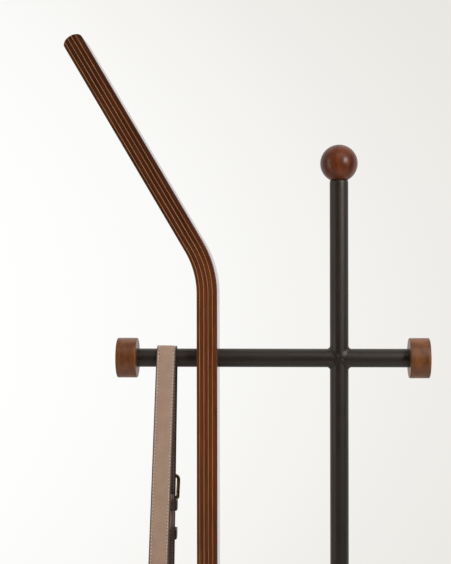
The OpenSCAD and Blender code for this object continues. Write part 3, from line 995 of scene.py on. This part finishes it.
def grainedLeather(name, dark, light, edge, half, scale, depth, rough):
    paint = Finish(name)
    flat = paint.attribute("flat")
    across = abs(paint.part(flat, "X"))
    pebbles = paint.cells(flat, scale, "SMOOTH_F1")
    creases = paint.noise(flat, scale * 0.5, 4.0, 0.6, 0.6)
    cloud = paint.noise(flat, 55.0, 4.0, 0.6)
    colour = paint.mix(cloud.ramp(0.3, 0.7) * 0.35 + creases.ramp(0.35, 0.65) * 0.5, dark, light)
    # painted shade: along each stitch row the crease is darkened towards the edge colour, in place of the
    # shade inside the groove; the outer band below is the leather's real painted edge
    grooveShade = abs(across - (half - stitch["inset"])).ramp(1.2 * mm, 0.6 * mm)
    colour = paint.mix(grooveShade * 0.45, colour, edge)
    colour = paint.mix(across.ramp(half - 1.5 * mm, half - 1.0 * mm), colour, edge)
    roughness = creases.ramp(0.3, 0.7, rough - 0.06, rough + 0.06)
    return paint.surface({"Base Color": colour, "Roughness": roughness, "Specular IOR Level": 0.4},
                         pebbles * 0.5 + creases, depth)


def makeStitches(name, walked, level, start, end, material, lifted):
    # one row of slanted stitches near each edge of the strap
    thread = bmesh.new()
    bmesh.ops.create_uvsphere(thread, u_segments=6, v_segments=4, radius=1)
    single = bpy.data.meshes.new("stitch")
    thread.to_mesh(single)
    thread.free()
    bm = bmesh.new()
    beside = strap["half"] - stitch["inset"]
    size = (stitch["radius"], stitch["radius"] * lifted, stitch["length"] / 2, 1)
    for k in range(int((end - start) / stitch["pitch"])):
        spot, out, along = stationAt(walked, start + (k + 0.5) * stitch["pitch"])
        for side in (-1, 1):
            turn = Matrix((Vector((1, 0, 0)), out, along)).transposed().to_4x4()
            place = Matrix.Translation(spot + out * level + Vector((side * beside, 0, 0)))
            place = place @ turn @ Matrix.Rotation(stitch["slant"], 4, "Y") @ Matrix.Diagonal(size)
            copy = single.copy()
            copy.transform(hang @ place)
            bm.from_mesh(copy)
            bpy.data.meshes.remove(copy)
    bmesh.ops.recalc_face_normals(bm, faces=bm.faces)
    addPiece(name, bm, material, body="strap", sharp=80)


def threadMaterial(name, dark, light):
    paint = Finish(name)
    spot = paint.objectPlace()
    twist = paint.noise(spot, 2200.0, 2.0)
    colour = paint.mix(twist.ramp(0.3, 0.7), dark, light)
    return paint.surface({"Base Color": colour, "Roughness": twist.ramp(0.3, 0.7, 0.5, 0.62)},
                         twist, 0.0001)


def makeStrap():
    leatherPath = denser(loopPath(pivot.z - 1 * mm) + foldPath())
    liningPath = denser(loopPath(pivot.z - buckle["ringR"] - buckle["slotGap"]))
    leather = layerMesh(leatherPath, strap["lining"], strapThick, strap["ease"], border)
    lining = layerMesh(liningPath, 0, strap["lining"], 0.3 * mm, [(3 * mm, 0), (8 * mm, 0)])
    ringHalf = buckle["ringW"] / 2 + buckle["slotGap"]
    ringReach = buckle["ringR"] + buckle["slotGap"]
    window = block((-ringHalf, pivot.y - 2 * strapThick, pivot.z - ringReach),
                   (ringHalf, wrapR - strap["lapGap"] / 2, pivot.z + 4 * strapThick - ringReach))
    leather = carve(leather, *tailCutters(), window)
    lining = carve(lining, *tailCutters())
    unroll(leather, leatherPath, strap["lining"], strapThick)
    unroll(lining, liningPath, 0, strap["lining"])
    for bm in (leather, lining):
        bmesh.ops.transform(bm, verts=bm.verts, matrix=hang)
    half = strap["half"]
    beige = grainedLeather("beigeLeather", shade(154, 126, 107), shade(178, 149, 130), shade(66, 52, 43),
                           half, 1500.0, 0.00012, 0.5)
    brown = grainedLeather("brownLining", shade(74, 58, 47), shade(98, 79, 65), shade(58, 46, 38),
                           half, 1900.0, 0.0001, 0.62)
    addPiece("strapLeather", leather, beige, ["strap_leather"], "strap", 50)
    addPiece("strapLining", lining, brown, ["strap_lining"], "strap", 50)
    paleThread = threadMaterial("paleThread", shade(208, 190, 172), shade(238, 224, 208))
    brownThread = threadMaterial("brownThread", shade(136, 116, 100), shade(168, 148, 130))
    walked = walk(loopPath(pivot.z - 1 * mm))
    tip, end = stitch["tipClear"], walked[-1][0]
    makeStitches("strapStitches", walked, strapThick - stitch["sunk"], tip, end, paleThread, 0.8)
    makeStitches("liningStitches", walked, stitch["liningSunk"], tip, end - stitch["endClear"],
                 brownThread, 0.5)


def keeperMesh(top, height):
    # a band round all the layers: its wall is swept round a rounded rectangle
    half = strap["half"] + keeper["gap"] + keeper["wall"] / 2
    near = pivot.y - foldR - strap["leather"] - strap["foldGap"] - keeper["wall"] / 2
    far = wrapR + strapThick + strap["foldGap"] + keeper["wall"] / 2
    bend = keeper["cornerR"]
    stations = []
    for x, y, start in ((half - bend, far - bend, 0), (bend - half, far - bend, pi / 2),
                        (bend - half, near + bend, pi), (half - bend, near + bend, 1.5 * pi)):
        for k in range(9):
            angle = start + pi / 2 * k / 8
            out = Vector((cos(angle), sin(angle), 0))
            stations.append((Vector((x, y, 0)) + out * bend, out))
    wall, ease = keeper["wall"] / 2, keeper["ease"]
    outline = []
    corners = ((1, top - height, -pi / 2), (1, top, 0), (-1, top, pi / 2), (-1, top - height, pi))
    for outSign, level, start in corners:
        up = ease if level < top else -ease
        for k in range(4):
            angle = start + pi / 2 * k / 3
            outline.append((outSign * (wall - ease) + ease * cos(angle), level + up + ease * sin(angle)))
    crease = [(wall, keeper["creaseAt"] - keeper["creaseHalf"]),
              (wall - keeper["creaseDepth"], keeper["creaseAt"]),
              (wall, keeper["creaseAt"] + keeper["creaseHalf"])]
    lower = [(reach, top - height + rise) for reach, rise in crease]
    upper = [(reach, top - rise) for reach, rise in crease]
    outline = outline[:4] + lower + upper[::-1] + outline[4:]
    bm = bmesh.new()
    layer = bm.verts.layers.float.new("toEdge")
    sections = [[spot + out * reach + Vector((0, 0, z)) for reach, z in outline] for spot, out in stations]
    rings = loft(bm, sections, closed=True)
    for verts in rings:
        for vert, (reach, z) in zip(verts, outline):
            vert[layer] = min(top - z, z - top + height)
    bmesh.ops.transform(bm, verts=bm.verts, matrix=hang)
    return bm


def keeperLeather():
    paint = Finish("keeperLeather")
    spot = paint.objectPlace()
    pebbles = paint.cells(spot, 1600.0, "SMOOTH_F1")
    creases = paint.noise(spot, 700.0, 4.0, 0.6, 0.5)
    cloud = paint.noise(spot, 130.0, 3.0)
    worn = paint.node("Attribute", {"attribute_name": "toEdge"}, output=2).ramp(0.9 * mm, 0.1 * mm)
    colour = paint.mix(cloud.ramp(0.3, 0.7) * 0.6 + creases * 0.4, shade(58, 42, 33), shade(84, 64, 51))
    colour = paint.mix(worn * 0.6, colour, shade(118, 96, 80))
    return paint.surface({"Base Color": colour, "Roughness": creases.ramp(0.3, 0.7, 0.4, 0.54)},
                         pebbles * 0.5 + creases, 0.00012)


def makeKeepers():
    material = keeperLeather()
    top = pivot.z - buckle["railR"] - keeper["drop"]
    addPiece("fixedKeeper", keeperMesh(top, keeper["fixedH"]), material,
             ["fixed_keeper"], "strap", 50)
    top -= keeper["fixedH"] + keeper["space"]
    addPiece("slidingKeeper", keeperMesh(top, keeper["slidingH"]), material,
             ["sliding_keeper"], "sliding_keeper", 50)


def antiqueBrass():
    paint = Finish("antiqueBrass")
    spot = paint.objectPlace()
    patina = paint.noise(spot, 240.0, 5.0, 0.62, 0.4)
    scuffs = paint.noise(paint.stretched(spot, (1, 1, 0.2)), 1800.0, 3.0)
    colour = paint.mix(patina.ramp(0.36, 0.62), shade(62, 46, 22), shade(128, 102, 58))
    rough = patina.ramp(0.35, 0.65, 0.5, 0.34) + scuffs * 0.06
    return paint.surface({"Base Color": colour, "Metallic": patina.ramp(0.3, 0.5, 0.85, 1.0),
                          "Roughness": rough}, patina * 0.6 + scuffs * 0.4, 0.00008)


def atPivot(tilt):
    # the pivot's frame: x along the pivot bar, z along the buckle's rails
    return hang @ Matrix.Translation(pivot) @ Matrix.Rotation(-tilt, 4, "X")


def makeBuckleFrame(material):
    radius, corner, height = buckle["railR"], buckle["cornerR"], buckle["height"]
    flat = railX - corner
    middleLine = [(Vector((railX, 0, 0)), 0.0)]
    for x, start in ((flat, 0), (-flat, pi / 2)):
        for k in range(9):
            angle = start + pi / 2 * k / 8
            spot = Vector((x + corner * cos(angle), 0, height - corner + corner * sin(angle)))
            middleLine.append((spot, angle))
    middleLine.append((Vector((-railX, 0, 0)), pi))

    def railSlice(spot, angle, scale=1.0):
        out = Vector((cos(angle), 0, sin(angle)))
        return [spot + (out * cos(turn) + Vector((0, 1, 0)) * sin(turn)) * radius * scale
                for turn in (2 * pi * k / 16 for k in range(16))]

    sections = []
    for k in range(1, 5):
        angle = pi / 2 * k / 5
        sections.append(railSlice(Vector((railX, 0, -radius * cos(angle))), 0, sin(angle)))
    sections += [railSlice(spot, angle) for spot, angle in middleLine]
    for k in range(4, 0, -1):
        angle = pi / 2 * k / 5
        sections.append(railSlice(Vector((-railX, 0, -radius * cos(angle))), pi, sin(angle)))
    bm = bmesh.new()
    loft(bm, sections)
    bm = combine(bm, "UNION", rod(buckle["pivotR"], (-railX, 0, 0), (railX, 0, 0), 24))
    bmesh.ops.transform(bm, verts=bm.verts, matrix=atPivot(lean))
    addPiece("buckleFrame", bm, material, ["buckle_frame"], "buckle_frame", 45)


def makeProng(material):
    radius, ringR, half = buckle["prongR"], buckle["ringR"], buckle["ringW"] / 2
    bore = buckle["pivotR"] + buckle["fit"]
    inner, outer = buckle["boreEdge"], buckle["ringEdge"]
    wing = lathe([(bore, -half, inner), (ringR, -half, outer), (ringR, half, outer), (bore, half, inner)],
                 32, closed=True)
    bmesh.ops.rotate(wing, verts=wing.verts, cent=(0, 0, 0), matrix=Matrix.Rotation(pi / 2, 3, "Y"))
    tip = buckle["height"] + 2 * buckle["railR"] + radius
    foot = buckle["shaftFoot"]
    shaft = lathe([(0, foot, 0), (radius, foot, 0), (radius, tip - buckle["taper"], 0),
                   (radius * 0.86, tip - radius * 0.7, 0), (radius * 0.55, tip - radius * 0.15, 0),
                   (0, tip, 0)], 20)
    bm = combine(wing, "UNION", shaft)
    bmesh.ops.transform(bm, verts=bm.verts, matrix=atPivot(lean + lift))
    addPiece("buckleProng", bm, material, ["buckle_prong"], "buckle_prong", 45)


makeStrap()
makeKeepers()
brassMaterial = antiqueBrass()
makeBuckleFrame(brassMaterial)
makeProng(brassMaterial)


print("hardware")


def metal(name, dark, light, rough, brushed):
    paint = Finish(name)
    spot = paint.objectPlace()
    turned = paint.noise(paint.stretched(spot, brushed), 900.0, 4.0, 0.6)
    cloud = paint.noise(spot, 160.0, 3.0)
    colour = paint.mix(cloud.ramp(0.3, 0.7) * 0.6 + turned * 0.4, dark, light)
    return paint.surface({"Base Color": colour, "Metallic": 1.0,
                          "Roughness": turned.ramp(0.3, 0.7, rough - 0.06, rough + 0.08)}, turned, 0.00004)


lockScrew = {
    "shankR": 3 * mm,
    "headH": 6 * mm,
    "socketR": 3 * mm,      # and its depth
    "endEdge": 0.4 * mm,
    "underEdge": 0.3 * mm,
    "headEdge": 0.7 * mm,
}


def makeLockScrew():
    low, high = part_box("post_lock_screw")
    head = (high.z - low.z) / 2
    shank, under = lockScrew["shankR"], high.y - lockScrew["headH"]
    bm = lathe([(0, low.y, 0), (shank, low.y, lockScrew["endEdge"]), (shank, under, 0),
                (head, under, lockScrew["underEdge"]), (head, high.y, lockScrew["headEdge"]),
                (0, high.y, 0)], 48)
    key = rod(lockScrew["socketR"], (0, 0, high.y - lockScrew["socketR"]), (0, 0, high.y + mm), 6)
    bm = carve(bm, key)
    bmesh.ops.rotate(bm, verts=bm.verts, cent=(0, 0, 0), matrix=Matrix.Rotation(-pi / 2, 3, "X"))
    bmesh.ops.translate(bm, verts=bm.verts, vec=(postX, 0, barZ))
    oxide = metal("blackOxide", shade(38, 37, 38), shade(66, 65, 66), 0.4, (1, 0.1, 1))
    addPiece("lockScrew", bm, oxide, ["post_lock_screw"])


makeLockScrew()
zinc = metal("zincSteel", shade(150, 152, 152), shade(190, 191, 190), 0.34, (1, 1, 0.08))
insertBrass = metal("insertBrass", shade(176, 146, 84), shade(206, 178, 112), 0.32, (1, 1, 0.1))
hardware = {
    zinc: ["upright_top_plug", "bar_plug_left", "bar_plug_right", "upright_foot_plug", "ball_stud",
           "disc_stud_left", "disc_stud_right", "post_lock_nut", "post_foot_screws", "upright_foot_bolt"],
    insertBrass: ["ball_insert", "disc_insert_left", "disc_insert_right", "post_foot_inserts"],
}
for material, nodes in hardware.items():
    for node in nodes:
        for holder in frame["nodes"][node].material_slots:
            holder.material = material
